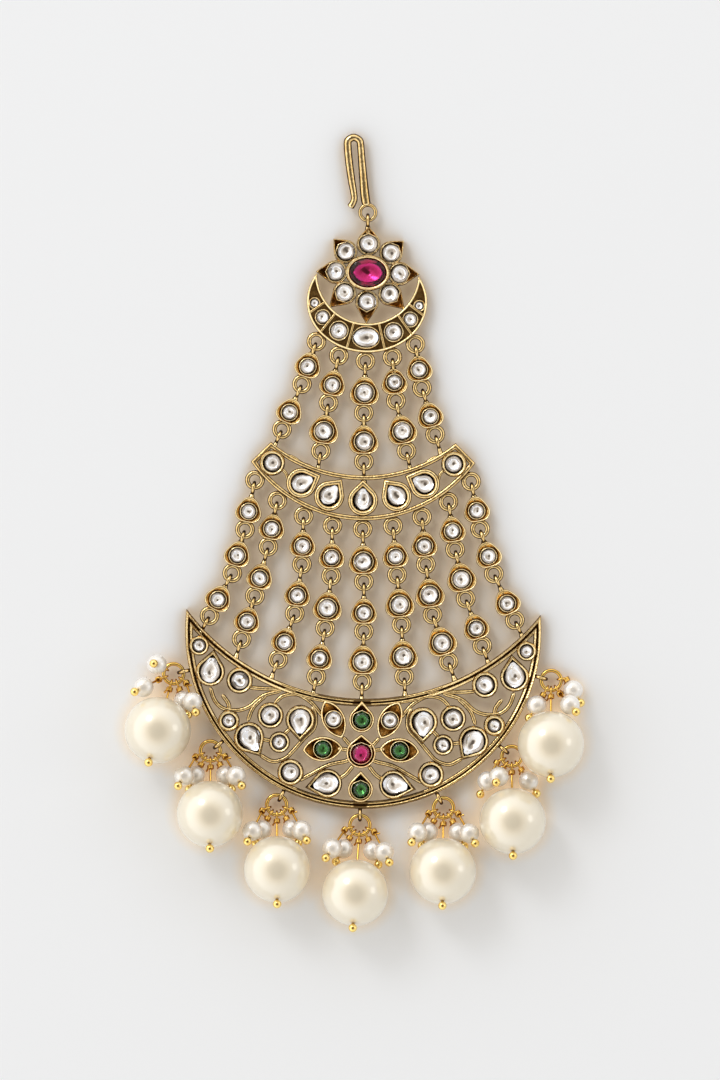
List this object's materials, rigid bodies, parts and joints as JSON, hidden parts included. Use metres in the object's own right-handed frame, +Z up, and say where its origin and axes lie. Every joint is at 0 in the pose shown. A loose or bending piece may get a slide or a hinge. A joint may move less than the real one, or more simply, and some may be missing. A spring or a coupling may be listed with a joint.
{
  "type": "passa jhoomar headpiece",
  "caption": "Side headpiece of cast links with set stones: a hook, a flower, a curved band and a pierced crescent, joined by interlocked link chains, with pearl drops.",
  "frame": {"origin": "centre of the bounding box on the surface that the piece lies on", "axes": "+Y along the piece towards its hook, +Z up out of its face, +X to the right of the face"},
  "size_m": [0.0831, 0.144, 0.012],
  "materials": {
    "antique_gold": "cast metal with an antique gold finish, dark in the recesses",
    "bright_gold": "polished bright gold wire",
    "clear_stone": "foil-backed clear faceted stone",
    "magenta_stone": "foil-backed magenta faceted stone",
    "green_stone": "foil-backed dark green faceted stone",
    "cream_pearl": "satin cream imitation pearl",
    "white_pearl": "glossy white imitation pearl"
  },
  "bodies": {
    "root": {"hair_hook": "antique_gold", "flower_frame": "antique_gold", "middle_band": "antique_gold", "lower_crescent": "antique_gold", "flower_ruby": "magenta_stone", "crescent_ruby": "magenta_stone", "petal_stones": "clear_stone", "small_crescent_stones": "clear_stone", "upper_chain_stones": "clear_stone", "middle_band_stones": "clear_stone", "lower_chain_stones": "clear_stone", "crescent_stones": "clear_stone", "crescent_emeralds": "green_stone", "upper_chain_1": "antique_gold", "upper_chain_2": "antique_gold", "upper_chain_3": "antique_gold", "upper_chain_4": "antique_gold", "upper_chain_5": "antique_gold", "lower_chain_1": "antique_gold", "lower_chain_2": "antique_gold", "lower_chain_3": "antique_gold", "lower_chain_4": "antique_gold", "lower_chain_5": "antique_gold", "lower_chain_6": "antique_gold", "lower_chain_7": "antique_gold", "lower_chain_8": "antique_gold", "lower_chain_9": "antique_gold", "drop_ring_1": "bright_gold", "big_pearl_1": "cream_pearl", "small_pearls_1": "white_pearl", "drop_ring_2": "bright_gold", "big_pearl_2": "cream_pearl", "small_pearls_2": "white_pearl", "drop_ring_3": "bright_gold", "big_pearl_3": "cream_pearl", "small_pearls_3": "white_pearl", "drop_ring_4": "bright_gold", "big_pearl_4": "cream_pearl", "small_pearls_4": "white_pearl", "drop_ring_5": "bright_gold", "big_pearl_5": "cream_pearl", "small_pearls_5": "white_pearl", "drop_ring_6": "bright_gold", "big_pearl_6": "cream_pearl", "small_pearls_6": "white_pearl", "drop_ring_7": "bright_gold", "big_pearl_7": "cream_pearl", "small_pearls_7": "white_pearl"}
  },
  "joints": []
}
